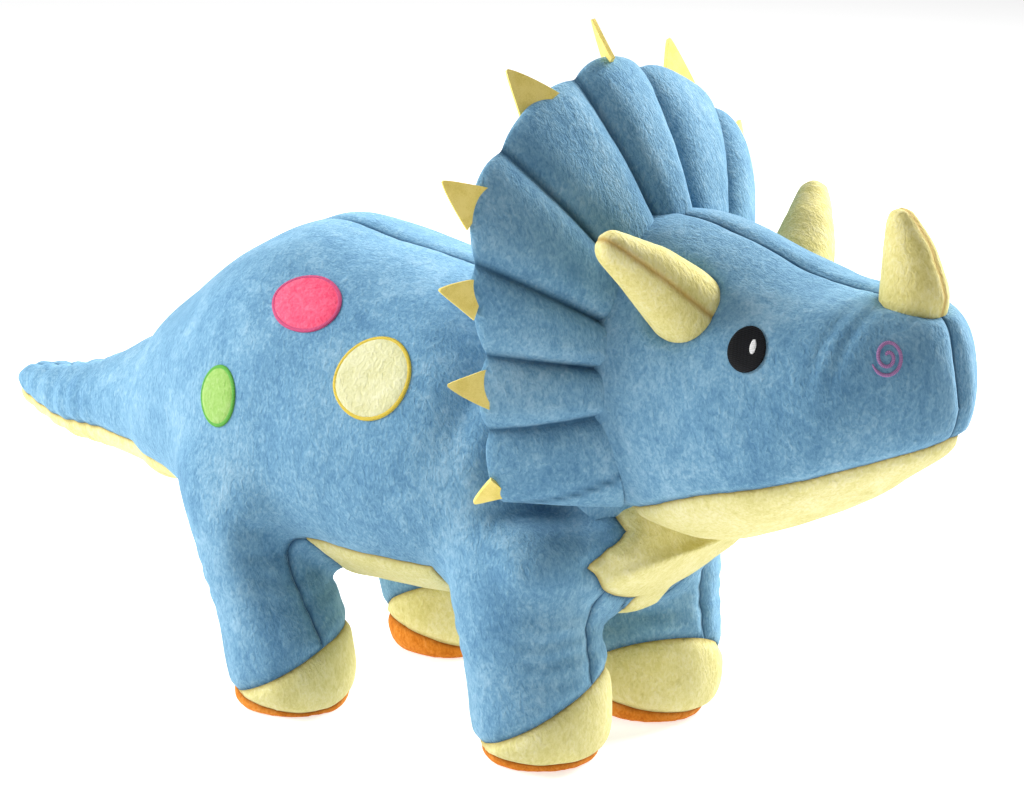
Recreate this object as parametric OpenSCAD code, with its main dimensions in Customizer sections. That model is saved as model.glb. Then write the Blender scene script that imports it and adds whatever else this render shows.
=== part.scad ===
// Plush horned dinosaur with a quilted neck frill, sewn from short-pile panels
// over loose stuffing. It faces -Y and stands on four soles at Z = 0.
// X = 0 is the middle seam plane. Millimetres.

/* [Body] */
// Half width of the trunk at its widest
body_half_w = 86; // [76:1:94]
// Height of the back above the floor at the highest point
back_z = 237; // [230:1:243]
// Height of the belly above the floor
belly_z = 61; // [56:1:66]
// Thickness of the sewn cover
cover_t = 3; // [2.4:0.2:4]

/* [Legs] */
// Sideways distance of a front leg from the middle seam
front_leg_x = 45; // [40:1:48]
// Forward distance of a front leg from the middle of the toy
front_leg_s = 95; // [90:1:98]
// Sideways distance of a rear leg from the middle seam
rear_leg_x = 60; // [54:1:62]
// Backward distance of a rear leg from the middle of the toy
rear_leg_s = 46; // [42:1:52]
// Radius of a foot where it meets the sole
foot_r = 28; // [26:0.5:30]
// Thickness of a sole pad
sole_t = 7; // [5:0.5:8]

/* [Head] */
// Half width of the head at the cheeks
head_half_w = 62; // [56:1:66]
// Forward reach of the snout
snout_s = 299; // [294:1:304]
// Diameter of an eye
eye_d = 18.5; // [17:0.5:22]
// Radius of a brow horn at its base
brow_horn_r = 15.5; // [14:0.5:17]
// Radius of the nose horn at its base
nose_horn_r = 14.5; // [13:0.5:16]

/* [Frill] */
// Half thickness of a section at its fullest
puff = 8.5; // [6:0.5:10]
// Depth of the scallop at each seam of the rim
scallop = 7; // [3:1:9]
// Height of a felt spike
spike_h = 18; // [14:1:22]
// Width of a felt spike at its base
spike_w = 18; // [14:1:20]

/* [Tail] */
// Backward reach of the tail tip
tail_s = 300; // [294:1:304]

/* [Hidden] */

blue = "#5b93c6";
yellow = "#efe98c";
felt = "#ecd75a";
orange = "#d97f2e";

gap = 0.25;            // clearance between neighbouring pieces of one body
joint_gap = 0.8;       // clearance between bodies that move
RA = 20;               // points round a trunk or head ring
RL = 14;               // points round a leg ring

// Stations along the toy: [y, centre z, half width, up, down]
TRUNK = [
  [-176, 97, 32, 10, 7],
  [-150, 93, 47, 15, 12],
  [-124, 91, 57, 20, 24],
  [-104, 97, 72, 30, 36],
  [ -84, 115, 77, 66, 54],
  [ -60, 129, 82, 86, 67],
  [ -16, 135, body_half_w, 89, 73],
  [  30, 137, body_half_w + 1, back_z - 6 - 137, 137 - belly_z + 1],
  [  60, 138, body_half_w, back_z - 138, 138 - belly_z],
  [  92, 135, 80, 92, 71],
  [ 126, 129, 66, 78, 52],
  [ 150, 125, 54, 63, 38],
  [ 172, 123, 45, 49, 40],
  [ 184, 122, 40, 42, 32]];
TRUNK_END = [-176, 172];
TAIL = [
  [172, 122, 39.4, 43, 34],
  [180, 122, 38.4, 41.5, 33.5],
  [192, 121, 35, 36, 31],
  [214, 119, 28, 26, 28],
  [253, 114, 20, 19, 20],
  [284, 116, 14, 14, 13],
  [300, 117, 11, 11, 10]];
HEAD = [
  [-(snout_s), 191, 13, 14, 12],
  [-(snout_s-5),   196, 20, 26, 22],
  [-(snout_s-13),  200, 29, 34, 34],
  [-(snout_s-28), 198, 43, 40, 41],
  [-(snout_s-46), 193, 54, 46, 48],
  [-(snout_s-65), 189, head_half_w - 3, 51, 55],
  [-(snout_s-84), 186, head_half_w, 58, 61],
  [-(snout_s-99), 185, head_half_w, 64, 66],
  [-(snout_s-119), 186, head_half_w, 70, 73],
  [-(snout_s-141), 188, head_half_w - 1, 74, 75],
  [-(snout_s-159), 189, head_half_w - 4, 73, 74],
  [-116, 189, head_half_w - 8, 70, 71]];

NECK = [-112, 163];    // nod axis: y, z
NECK_X = 45;           // half width of the neck ball
NECK_R = 57;           // radius of the neck ball about the nod axis
TAIL_Q = 176;          // sway axis: y
TAIL_Z = 122;          // middle height of the tail root ball
TAIL_R = 39;           // radius of the tail root ball about the sway axis
TAIL_UP = 43;          // its height above and below its middle
TAIL_DN = 34;

REAR_SEAM_OUT = 8;     // how far outside its middle a rear leg's inner panel ends

// Foot and leg rings: [z, shift outwards, shift forwards, half width, half depth]
FRONT_LEG = [
  [sole_t,  1,  1, foot_r, foot_r],
  [16,  1, 1, foot_r + 3.5, foot_r + 3.5],
  [40,  1, 0, foot_r + 4, foot_r + 4],
  [67,  3, -2, foot_r + 4, foot_r + 6],
  [91,  5, -4, foot_r + 4, foot_r + 11],
  [117, 3, -8, foot_r + 2, foot_r + 12],
  [135, -2, -10, foot_r - 3, foot_r + 2]];
REAR_LEG = [
  [sole_t,  0,  0, foot_r - 1, foot_r - 1],
  [16,  0, 0, foot_r + 2, foot_r + 2],
  [40,  0, -5, foot_r + 2, foot_r + 3],
  [67,  0, -13, foot_r + 3, foot_r + 7],
  [91,  0, -20, foot_r + 4, foot_r + 13],
  [119, -2, -24, foot_r + 4, foot_r + 20],
  [145, -9, -20, foot_r - 1, foot_r + 18]];

// ---- functions -------------------------------------------------------------

// Row of table T that starts the interval holding p
function row(T, p, i = 0) = i >= len(T) - 2 || p < T[i + 1][0] ? i : row(T, p, i + 1);
function slope(T, i) = i == 0 ? (T[1] - T[0]) / (T[1][0] - T[0][0])
  : i == len(T) - 1 ? (T[i] - T[i - 1]) / (T[i][0] - T[i - 1][0])
  : (T[i + 1] - T[i - 1]) / (T[i + 1][0] - T[i - 1][0]);
// Smooth value of the whole row at p
function at(T, p) = let (i = row(T, p), h = T[i + 1][0] - T[i][0], t = (p - T[i][0]) / h)
  T[i] * (2 * t^3 - 3 * t^2 + 1) + slope(T, i) * h * (t^3 - 2 * t^2 + t)
  + T[i + 1] * (3 * t^2 - 2 * t^3) + slope(T, i + 1) * h * (t^3 - t^2);

// Elliptic rounding of an end: 0 at the tip, 1 at distance r
function round_end(d, r) = d >= r ? 1 : sqrt(max(0, 1 - ((r - d) / r)^2));
// Ring positions from a to b: close together in the rounded ends r0 and r1
function ring_pos(a, b, r0, r1, n) = concat(
  r0 > 0 ? [for (k = [0:3]) a + r0 * (1 - cos(6 + k * 26))] : [a],
  [for (k = [1:n - 1]) a + r0 + (b - a - r0 - r1) * k / n],
  r1 > 0 ? [for (k = [3:-1:0]) b - r1 * (1 - cos(6 + k * 26))] : [b]);

// Signed power for soft-cornered rings
function sp(v, e) = sign(v) * abs(v)^e;
// One ring across Y: e < 1 gives fuller corners
function yring(w, y, inset, k, e) = [for (j = [0:RA - 1]) let (a = 360 * j / RA + 180 / RA)
  [max(0.2, w[2] * k - inset) * sp(sin(a), e), y, w[1] + (cos(a) > 0 ? max(0.2, w[3] * k - inset) : max(0.2, w[4] * k - inset)) * sp(cos(a), e)]];

// Closed tube of rings
module tube(rings) {
  n = len(rings); m = len(rings[0]);
  polyhedron(
    [for (r = rings) each r],
    concat([[for (j = [0:m - 1]) j]], [[for (j = [m - 1:-1:0]) (n - 1) * m + j]],
      [for (i = [0:n - 2], j = [0:m - 1]) let (q = (j + 1) % m) each
        [[i * m + j, (i + 1) * m + j, (i + 1) * m + q], [i * m + j, (i + 1) * m + q, i * m + q]]]));
}

// Body of revolution-like rings along Y from table T, ends a and b rounded by r0 and r1
module yloft(T, a, b, r0, r1, n, inset = 0, e = 0.92) {
  p = ring_pos(a + (r0 > 0 ? inset : 0), b - (r1 > 0 ? inset : 0), r0, r1, n);
  tube([for (y = p) let (w = at(T, y),
    k = (r0 > 0 ? round_end(y - a - inset, r0) : 1) * (r1 > 0 ? round_end(b - inset - y, r1) : 1))
    yring(w, y, inset, k, e)]);
}

module trunk(inset = 0) yloft(TRUNK, TRUNK_END[0], TRUNK_END[1], 26, 0, 12, inset);
module tail_form(inset = 0) yloft(TAIL, TAIL_Q - 2, tail_s, 0, 13, 7, inset);
module head_form(inset = 0) yloft(HEAD, -snout_s, -116, 15, 0, 11, inset, 0.86);

module leg_form(T, inset = 0) {
  p = [sole_t, 12, 20, 40, 60, 80, 100, 120, T[len(T) - 1][0]];
  // the foot rounds in towards the sole over its lowest few millimetres
  tube([for (z = p) let (w = at(T, z)) [for (j = [0:RL - 1]) let (a = 360 * j / RL)
    [w[1] + (w[3] - inset) * sp(cos(a), 0.95), -w[2] + (w[4] - inset) * sp(sin(a), 0.95), z == sole_t ? z + max(0, inset) : z]]]);
}
// side: -1 right, 1 left; pair: 1 front, -1 rear
module leg(side, pair, inset = 0) translate([side * (pair > 0 ? front_leg_x : rear_leg_x), pair > 0 ? -front_leg_s : rear_leg_s, 0])
  scale([side, 1, 1]) leg_form(pair > 0 ? FRONT_LEG : REAR_LEG, inset);
module legs(inset = 0) for (side = [-1, 1], pair = [-1, 1]) leg(side, pair, inset);

// Neck ball: round about the nod axis, so the head turns on it
module neck_ball(grow = 0) translate([0, NECK[0], NECK[1]]) rotate([0, 90, 0])
  rotate_extrude($fn = 40) polygon(concat([[0, -NECK_X - grow]],
    [for (a = [-75:15:75]) [(NECK_R + grow) * cos(a)^0.7, (NECK_X + grow) * sin(a)]], [[0, NECK_X + grow]]));
// Room for the lower frill and the back of the head as they turn on the nod axis
module nod_room() for (side = [-1, 1]) translate([side * 40, NECK[0], NECK[1]]) rotate([0, side * 90, 0]) cylinder(r = 49.5, h = 90, $fn = 48);
// Tail root ball: round about the sway axis
module tail_ball(grow = 0) translate([0, TAIL_Q, TAIL_Z])
  rotate_extrude($fn = 36) polygon(concat([[0, -TAIL_DN - grow]],
    [for (a = [-75:15:75]) [(TAIL_R + grow) * cos(a)^0.92, (a > 0 ? TAIL_UP + grow : TAIL_DN + grow) * sign(a) * abs(sin(a))^0.92]], [[0, TAIL_UP + grow]]));

// Seam heights: the flank panels end and the yellow panels begin here. [y, z]
BELLY_SEAM = [[-105, 90], [-64, 87], [22, 87], [90, 90], [140, 99], [180, 107]];
TAIL_SEAM = [[150, 103], [180, 105], [214, 106], [253, 104], [284, 111], [292, 114], [330, 119]];
CHIN_SEAM = [[-330, 191], [-296, 177], [-270, 167], [-245, 158], [-192, 144], [-141, 126], [-100, 115]];
// Front view outline of the yellow chest: [half width, z]
CHEST_SEAM = [[46, 122], [64, 103], [46, 78], [40, 40]];
// Everything below a seam line
module under(S) rotate([90, 0, 90]) linear_extrude(height = 260, center = true)
  polygon(concat([[S[0][0], 0]], S, [[S[len(S) - 1][0], 0]]));
// Region of the yellow gusset: chest, belly and up to the tail
module gusset() {
  under(BELLY_SEAM);
  translate([0, -104.9, 0]) rotate([90, 0, 0]) linear_extrude(height = 90)
    polygon(concat([for (p = CHEST_SEAM) p], [for (i = [len(CHEST_SEAM) - 1:-1:0]) [-CHEST_SEAM[i][0], CHEST_SEAM[i][1]]]));
}
// One side of a plane, clear of it
module half(side, g = gap / 2) translate([side > 0 ? g : -300 - g, -400, -20]) cube([300, 800, 420]);

// Piece of cover between two offsets of the whole trunk with its legs
module body_shell() difference() {
  union() { trunk(); legs(); }
  union() { trunk(cover_t); legs(cover_t); neck_ball(joint_gap); tail_ball(joint_gap); }
}
// Slanted upper edge of a toe cap: low at the back, high at the front
module toe_region(side, pair) {
  x = side * (pair > 0 ? front_leg_x : rear_leg_x); y = pair > 0 ? -front_leg_s : rear_leg_s;
  translate([x, y, 25]) rotate([0, 0, -side * 36.5]) rotate([-30, 0, 0]) translate([-50, -60, -70]) cube([100, 120, 70]);
}
// Inner face of a leg, from its front seam to its rear seam, below the belly seam
module inner_region(side, pair) {
  x = side * (pair > 0 ? front_leg_x : rear_leg_x + REAR_SEAM_OUT);
  y = pair > 0 ? -front_leg_s : rear_leg_s;
  intersection() {
    translate([-100, -200, 0]) cube([200, 400, 86]);
    translate([x, y, 0]) rotate([0, 0, side > 0 ? 180 : 0]) translate([0, -80, 0]) cube([90, 160, 130]);
  }
}

// ---- trunk -----------------------------------------------------------------

module torso_stuffing() color(blue) resize([0, 0, 0]) difference() {
  union() {
    difference() { trunk(cover_t + gap); translate([0, TAIL_Q + 44, 100]) cube([200, 100, 300], center = true); nod_room(); }
    neck_ball();
  }
  tail_ball(joint_gap);
}
module body_panel(side) color(blue) resize([0, 0, 0]) difference() {
  intersection() { body_shell(); half(side); }
  difference() { translate([0, 0, gap / 2]) gusset(); legs(); }
  for (pair = [-1, 1]) { inner_region(side, pair); toe_region(side, pair); }
  neck_ball(joint_gap);
  nod_room();
  tail_ball(joint_gap);
}
module belly_panel() color(yellow) resize([0, 0, 0]) difference() {
  intersection() { difference() { trunk(); trunk(cover_t); } translate([0, 0, -gap / 2]) gusset(); }
  legs(-0.5);
  neck_ball(joint_gap);
  tail_ball(joint_gap);
}
module spot(side, y, z, ry, rz, tilt, c) color(c) resize([0, 0, 0]) intersection() {
  difference() { trunk(-1.4); trunk(-0.2); }
  translate([side * 60, y, z]) rotate([tilt, 0, 0]) rotate([0, 90, 0]) scale([rz, ry, 1]) cylinder(h = 110, r = 1, center = true, $fn = 36);
}

// ---- legs ------------------------------------------------------------------

module leg_stuffing(side, pair) color(blue) resize([0, 0, 0]) difference() {
  leg(side, pair, cover_t + gap);
  trunk(cover_t + gap - 0.1);
  neck_ball(gap);
  nod_room();
}
module inner_leg_panel(side, pair) color(blue) resize([0, 0, 0]) difference() {
  intersection() {
    difference() { leg(side, pair); leg(side, pair, cover_t); }
    inner_region(side, pair);
  }
  trunk(-gap);
  toe_region(side, pair);
}
module toe_cap(side, pair) color(yellow) resize([0, 0, 0]) difference() {
  intersection() { leg(side, pair); translate([0, 0, -gap]) toe_region(side, pair); }
  leg(side, pair, cover_t);
}
module sole(side, pair) color(orange)
  translate([side * (pair > 0 ? front_leg_x : rear_leg_x), pair > 0 ? -front_leg_s : rear_leg_s, 0])
  rotate_extrude($fn = 48) polygon(concat([[0, 0]],
    [for (a = [0:15:90]) [foot_r - 8 + 7.5 * sin(a), (sole_t - gap) * (1 - cos(a))]], [[0, sole_t - gap]]));

// ---- head ------------------------------------------------------------------

module head_stuffing() color(blue) resize([0, 0, 0]) difference() {
  head_form(cover_t + gap);
  neck_ball(joint_gap);
}
module head_shell() difference() { head_form(); head_form(cover_t); neck_ball(joint_gap); }
module head_panel(side) color(blue) resize([0, 0, 0]) difference() {
  intersection() { head_shell(); half(side); }
  translate([0, 0, gap / 2]) under(CHIN_SEAM);
}
module chin_panel() color(yellow) resize([0, 0, 0]) intersection() { head_shell(); translate([0, 0, -gap / 2]) under(CHIN_SEAM); }

module brow_horn(side) color(yellow) resize([0, 0, 0]) difference() {
  hull() {
    translate([side * 42, -180, 228]) sphere(r = brow_horn_r, $fn = 18);
    translate([side * 62, -173, 246]) sphere(r = brow_horn_r - 3, $fn = 18);
    translate([side * 80, -164, 259]) sphere(r = 8, $fn = 18);
  }
  head_form(-gap);
}
module nose_horn() color(yellow) resize([0, 0, 0]) difference() {
  hull() {
    translate([0, -270, 239]) scale([0.85, 1, 1]) sphere(r = nose_horn_r, $fn = 18);
    translate([0, -267, 257]) scale([0.9, 1, 1]) sphere(r = 11, $fn = 18);
    translate([0, -262, 271]) sphere(r = 6.5, $fn = 18);
  }
  head_form(-gap);
}
// Thin sewn patch on the cheek at (x, s, z), facing yaw degrees forward of sideways
module cheek_patch(side, x, s, z, yaw, t0, t1) resize([0, 0, 0]) intersection() {
  difference() { head_form(-t1); head_form(-t0); }
  translate([side * x, -s, z]) rotate([0, 0, -side * yaw]) rotate([90, 0, 90]) linear_extrude(height = 50, center = true) children();
}
module eye(side) color("#171a1e") cheek_patch(side, 57, 219.5, 216.5, 12, 0.2, 1.6) circle(d = eye_d, $fn = 28);
module eye_highlight(side) color("white") cheek_patch(side, 56, 223, 217.5, 12, 1.8, 2.4) scale([0.55, 1]) circle(d = 7, $fn = 14);
// Spiral of raised thread: [angle, radius]
SPIRAL = [for (a = [0:30:600]) [a, 1.2 + 6.3 * a / 600]];
module nostril(side) color("#b58ab5") cheek_patch(side, 35, 279, 218, 38, 0.2, 1.4) mirror([side > 0 ? 1 : 0, 0]) polygon(concat(
  [for (p = SPIRAL) (p[1] + 0.6) * [cos(p[0]), sin(p[0])]],
  [for (i = [len(SPIRAL) - 1:-1:0]) (SPIRAL[i][1] - 0.6) * [cos(SPIRAL[i][0]), sin(SPIRAL[i][0])]]));

// ---- frill -----------------------------------------------------------------

SEAMS = [10.5, 36.5, 58.5, 78, 100, 126];   // seam angles from the top
SPIKE_A = [0, 23, 49, 65, 87, 119];         // where the felt spikes stand
FA = SEAMS[5];
ALL_SEAMS = concat([for (i = [5:-1:0]) -SEAMS[i]], SEAMS);
FZ = 185;                        // height of the fan's middle
// Rim: [angle from the top, radius, forward position]
RIM = [[-40, 139, 104], [0, 144, 101], [23, 141, 102], [47, 139, 105], [62, 120, 106], [78, 100, 105], [90, 97, 104], [112, 94, 101], [126, 96, 100], [160, 92, 98]];
function section(a, i = 0) = i >= len(ALL_SEAMS) - 2 || a < ALL_SEAMS[i + 1] ? i : section(a, i + 1);
// -1 and 1 at the two seams of a section, 0 at its middle
function phase(a) = let (i = section(a)) 2 * (a - ALL_SEAMS[i]) / (ALL_SEAMS[i + 1] - ALL_SEAMS[i]) - 1;
// Outline of the head where the frill is sewn on
function sewn(a) = let (b = a + sign(a) * 15 * max(0, abs(a) - 100) / 25, c = abs(cos(b)) / (cos(b) > 0 ? 77 : 75), d = abs(sin(b)) / 57,
  r = (c^2.6 + d^2.6)^(-1 / 2.6)) [r * sin(b), -137 + 3 * cos(b), FZ + r * cos(b)];
function rim(a) = let (w = at(RIM, abs(a)), r = w[1] - scallop * abs(phase(a))^3) [r * sin(a), -w[2], FZ + r * cos(a)];
function rim_mid(a) = let (w = at(RIM, abs(a))) [w[1] * sin(a), -w[2], FZ + w[1] * cos(a)];
// Half thickness at angle a and v from the head (0) to the rim (1)
function half_t(a, v) = (2.6 + (puff - 2.6) * (1 - abs(phase(a))^2.2)^0.7) * (1 - 0.7 * v^4);
function mid(a, v) = let (p = sewn(a), q = rim(a), d = q - p) p + d * v + [0, -9 * v * (1 - v), 0];
STEPS = 4;
ANG = concat([for (i = [0:len(ALL_SEAMS) - 2], j = [0:STEPS - 1]) ALL_SEAMS[i] + (ALL_SEAMS[i + 1] - ALL_SEAMS[i]) * j / STEPS], [FA]);
VS = [0, 0.3, 0.6, 0.85, 1];
// Quilted layer between f0 and f1 of the half thickness (positive is the front)
module quilt(f0, f1, g0 = 0, g1 = 0, vmax = 1) {
  n = len(ANG); m = len(VS);
  function pt(i, j, f, g) = mid(ANG[i], VS[j] * vmax) + [0, -(f * half_t(ANG[i], VS[j] * vmax) + g), 0];
  top = [for (i = [0:n - 1], j = [0:m - 1]) pt(i, j, f1, g1)];
  bot = [for (i = [0:n - 1], j = [0:m - 1]) pt(i, j, f0, g0)];
  N = n * m;
  polyhedron(concat(top, bot), concat(
    [for (i = [0:n - 2], j = [0:m - 2]) each [[i*m+j, i*m+j+1, (i+1)*m+j+1], [i*m+j, (i+1)*m+j+1, (i+1)*m+j]]],
    [for (i = [0:n - 2], j = [0:m - 2]) each [[N+i*m+j, N+(i+1)*m+j+1, N+i*m+j+1], [N+i*m+j, N+(i+1)*m+j, N+(i+1)*m+j+1]]],
    [for (i = [0:n - 2]) each [[i*m, (i+1)*m, N+(i+1)*m], [i*m, N+(i+1)*m, N+i*m]]],
    [for (i = [0:n - 2]) each [[i*m+m-1, N+(i+1)*m+m-1, (i+1)*m+m-1], [i*m+m-1, N+i*m+m-1, N+(i+1)*m+m-1]]],
    [for (j = [0:m - 2]) each [[j, N+j+1, j+1], [j, N+j, N+j+1]]],
    [for (j = [0:m - 2]) each [[(n-1)*m+j, (n-1)*m+j+1, N+(n-1)*m+j+1], [(n-1)*m+j, N+(n-1)*m+j+1, N+(n-1)*m+j]]]));
}
module frill_front_panel() color(blue) resize([0, 0, 0]) difference() { quilt(0.5, 1, 0.15, 0.15); head_form(-gap); }
module frill_back_panel() color(blue) resize([0, 0, 0]) difference() { quilt(-1, -0.5, -0.15, -0.15); head_form(-gap); }
module frill_batting() color(yellow) resize([0, 0, 0]) difference() { quilt(-0.42, 0.42, 0, 0, 0.94); head_form(-gap); }
// Felt tooth: leaf-shaped sides, standing on the rim in the plane of the frill
module spike(i) {
  a = sign(i - 6) * SPIKE_A[abs(i - 6)];
  p = rim_mid(a); d = p - mid(a, 0.6);
  back = atan2(d[1], norm([d[0], d[2]]));
  color(felt) translate(p) rotate([0, a, 0]) rotate([-back, 0, 0]) rotate([90, 0, 0])
    linear_extrude(height = 3.4, center = true) polygon(concat(
      [for (t = [0:0.2:1]) [-spike_w / 2 * (1 - t)^0.85, 2.5 + spike_h * t]],
      [for (t = [0.8:-0.2:0]) [spike_w / 2 * (1 - t)^0.85, 2.5 + spike_h * t]]));
}

// ---- tail ------------------------------------------------------------------

module tail_stuffing() color(blue) resize([0, 0, 0]) union() {
  difference() { tail_ball(); translate([0, TAIL_Q + 52, 100]) cube([200, 100, 300], center = true); }
  difference() { tail_form(cover_t + gap); translate([0, TAIL_Q - 48.1, 100]) cube([200, 100, 300], center = true); }
}
module tail_shell() difference() {
  tail_form(); tail_form(cover_t);
  translate([0, TAIL_Q - 47.8, 100]) cube([200, 100, 300], center = true);
}
module tail_panel(side) color(blue) resize([0, 0, 0]) difference() {
  intersection() { tail_shell(); half(side); }
  translate([0, 0, gap / 2]) under(TAIL_SEAM);
}
module tail_under_panel() color(yellow) resize([0, 0, 0]) intersection() { tail_shell(); translate([0, 0, -gap / 2]) under(TAIL_SEAM); }

// ---- nodes -----------------------------------------------------------------

torso_stuffing();
body_panel(1);  // body_panel_left
body_panel(-1);  // body_panel_right
belly_panel();
leg_stuffing(1, 1);  // front_leg_stuffing_left
leg_stuffing(-1, 1);  // front_leg_stuffing_right
leg_stuffing(1, -1);  // rear_leg_stuffing_left
leg_stuffing(-1, -1);  // rear_leg_stuffing_right
inner_leg_panel(1, 1);  // front_inner_leg_panel_left
inner_leg_panel(-1, 1);  // front_inner_leg_panel_right
inner_leg_panel(1, -1);  // rear_inner_leg_panel_left
inner_leg_panel(-1, -1);  // rear_inner_leg_panel_right
toe_cap(1, 1);  // front_toe_cap_left
toe_cap(-1, 1);  // front_toe_cap_right
toe_cap(1, -1);  // rear_toe_cap_left
toe_cap(-1, -1);  // rear_toe_cap_right
sole(1, 1);  // front_sole_left
sole(-1, 1);  // front_sole_right
sole(1, -1);  // rear_sole_left
sole(-1, -1);  // rear_sole_right
spot(1, 31, 205, 19, 10.5, 8, "#ef4f86");  // pink_spot_left
spot(-1, 31, 205, 19, 10.5, 8, "#ef4f86");  // pink_spot_right
spot(1, -21, 178, 20, 17.5, 0, yellow);  // cream_spot_left
spot(-1, -21, 178, 20, 17.5, 0, yellow);  // cream_spot_right
spot(1, 72, 157, 12, 14, 8, "#8fcf4b");  // green_spot_left
spot(-1, 72, 157, 12, 14, 8, "#8fcf4b");  // green_spot_right
head_stuffing();
head_panel(1);  // head_panel_left
head_panel(-1);  // head_panel_right
chin_panel();
brow_horn(1);  // brow_horn_left
brow_horn(-1);  // brow_horn_right
nose_horn();
eye(1);  // eye_left
eye(-1);  // eye_right
eye_highlight(1);  // eye_highlight_left
eye_highlight(-1);  // eye_highlight_right
nostril(1);  // nostril_left
nostril(-1);  // nostril_right
frill_front_panel();
frill_back_panel();
frill_batting();
spike(1);  // frill_spike_1
spike(2);  // frill_spike_2
spike(3);  // frill_spike_3
spike(4);  // frill_spike_4
spike(5);  // frill_spike_5
spike(6);  // frill_spike_6
spike(7);  // frill_spike_7
spike(8);  // frill_spike_8
spike(9);  // frill_spike_9
spike(10);  // frill_spike_10
spike(11);  // frill_spike_11
tail_stuffing();
tail_panel(1);  // tail_panel_left
tail_panel(-1);  // tail_panel_right
tail_under_panel();
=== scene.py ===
# %% [markdown]
# # A plush horned dinosaur
# The toy is sewn from short-pile plush, called minky, and filled with loose
# polyester fibre. Its frame came from CAD: sizes, joints and names are fixed.
# Here each cover is made soft, sewn and brushed. Shapes are given in
# millimetres and turned to metres by MM; the camera, the lamps and the card
# are placed in metres.

import math

import bmesh
import bpy
import numpy as np
from mathutils import Matrix, Vector, kdtree, noise
from mathutils.bvhtree import BVHTree


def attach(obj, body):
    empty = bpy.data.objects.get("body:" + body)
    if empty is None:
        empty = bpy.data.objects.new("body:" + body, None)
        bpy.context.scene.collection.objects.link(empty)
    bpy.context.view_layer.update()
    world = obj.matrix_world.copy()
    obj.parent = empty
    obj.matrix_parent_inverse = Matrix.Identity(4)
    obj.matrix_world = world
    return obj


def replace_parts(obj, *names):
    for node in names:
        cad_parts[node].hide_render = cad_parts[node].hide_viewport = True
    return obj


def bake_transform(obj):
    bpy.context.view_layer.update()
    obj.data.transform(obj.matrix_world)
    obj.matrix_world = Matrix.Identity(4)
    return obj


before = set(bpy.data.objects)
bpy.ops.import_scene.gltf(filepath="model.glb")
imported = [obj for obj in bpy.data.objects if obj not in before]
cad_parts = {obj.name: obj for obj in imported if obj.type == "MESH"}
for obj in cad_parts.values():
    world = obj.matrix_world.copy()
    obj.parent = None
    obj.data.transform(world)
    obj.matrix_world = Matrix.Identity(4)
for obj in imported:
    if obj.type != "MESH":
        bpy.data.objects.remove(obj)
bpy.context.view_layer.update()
MM = 0.001
scene = bpy.context.scene

# %% [markdown]
# ## Camera, floor and light
# A long lens keeps the toy's proportions. The toy stands in a bright white
# sweep, so light comes from everywhere, with a large soft lamp behind the
# tail, one on the far side and a weak one above.

# %% Camera
CAMERA_PLACE = (-1.2260, -1.0169, 0.5425)
AIM_POINT = (0, -0.045, 0.1558)
LENS, SENSOR_WIDTH = 116.97, 36  # mm
bpy.ops.object.camera_add(location=CAMERA_PLACE)
camera = bpy.context.object
camera.name = "portrait_camera"
aim = Vector(AIM_POINT) - camera.location
camera.rotation_euler = aim.to_track_quat("-Z", "Y").to_euler()
camera.data.lens = LENS
camera.data.sensor_width = SENSOR_WIDTH
scene.camera = camera
print("camera is", round(aim.length, 3), "m from the toy")

# %% Sky light and lamps
SKY_STRENGTH = 0.3
scene.view_settings.view_transform = "Standard"
world = bpy.data.worlds.new("white_sweep")
scene.world = world
world.use_nodes = True
sky = world.node_tree.nodes["Background"]
sky.inputs["Color"].default_value = (1, 1, 1, 1)
sky.inputs["Strength"].default_value = SKY_STRENGTH


def lamp(name, place, target, size, power):
    bpy.ops.object.light_add(type="AREA", location=place)
    light = bpy.context.object
    light.name = name
    light.data.size = size
    light.data.energy = power
    toward = Vector(target) - Vector(place)
    light.rotation_euler = toward.to_track_quat("-Z", "Y").to_euler()


lamp("tail_side_softbox", (-0.95, 1.45, 1.05), (0, 0, 0.12), 1.0, 50)
lamp("far_side_softbox", (1.75, -0.45, 1.15), (0, -0.1, 0.2), 1.0, 92)
lamp("overhead_sweep", (0.1, -0.1, 1.9), (0, 0, 0.1), 1.2, 8)

# %% [markdown]
# ## Small tools
# Every cover starts as a copy of the CAD solids, remeshed as one even skin.
# These few functions smooth a skin, cut seam lines into it and pull the
# seams in, which is what makes a sewn toy look sewn.

# %% Choosing objects
def only(*objs):
    bpy.ops.object.select_all(action="DESELECT")
    for o in objs:
        o.select_set(True)
    bpy.context.view_layer.objects.active = objs[0]


def apply_modifier(obj, kind, **settings):
    m = obj.modifiers.new(kind.lower(), kind)
    for key, value in settings.items():
        setattr(m, key, value)
    only(obj)
    bpy.ops.object.modifier_apply(modifier=m.name)
    return obj


def clean(obj, merge=None, hull=False, outward=False):
    """Edit mode: merges points closer than merge mm, wraps them in a hull, turns the faces outwards."""
    only(obj)
    bpy.ops.object.mode_set(mode="EDIT")
    bpy.ops.mesh.select_all(action="SELECT")
    if merge:
        bpy.ops.mesh.remove_doubles(threshold=merge * MM)
    if hull:
        bpy.ops.mesh.convex_hull()
    if outward:
        bpy.ops.mesh.normals_make_consistent(inside=False)
    bpy.ops.object.mode_set(mode="OBJECT")


def shade_smooth(obj):
    only(obj)
    bpy.ops.object.shade_smooth()


def new_object(name, mesh):
    obj = bpy.data.objects.new(name, mesh)
    scene.collection.objects.link(obj)
    return obj


# %% Points of a mesh as one array
def points(obj):
    co = np.empty(len(obj.data.vertices) * 3)
    obj.data.vertices.foreach_get("co", co)
    return co.reshape(-1, 3)


def place_points(obj, co):
    obj.data.vertices.foreach_set("co", np.ascontiguousarray(co, dtype=np.float32).ravel())
    obj.data.update()


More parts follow.
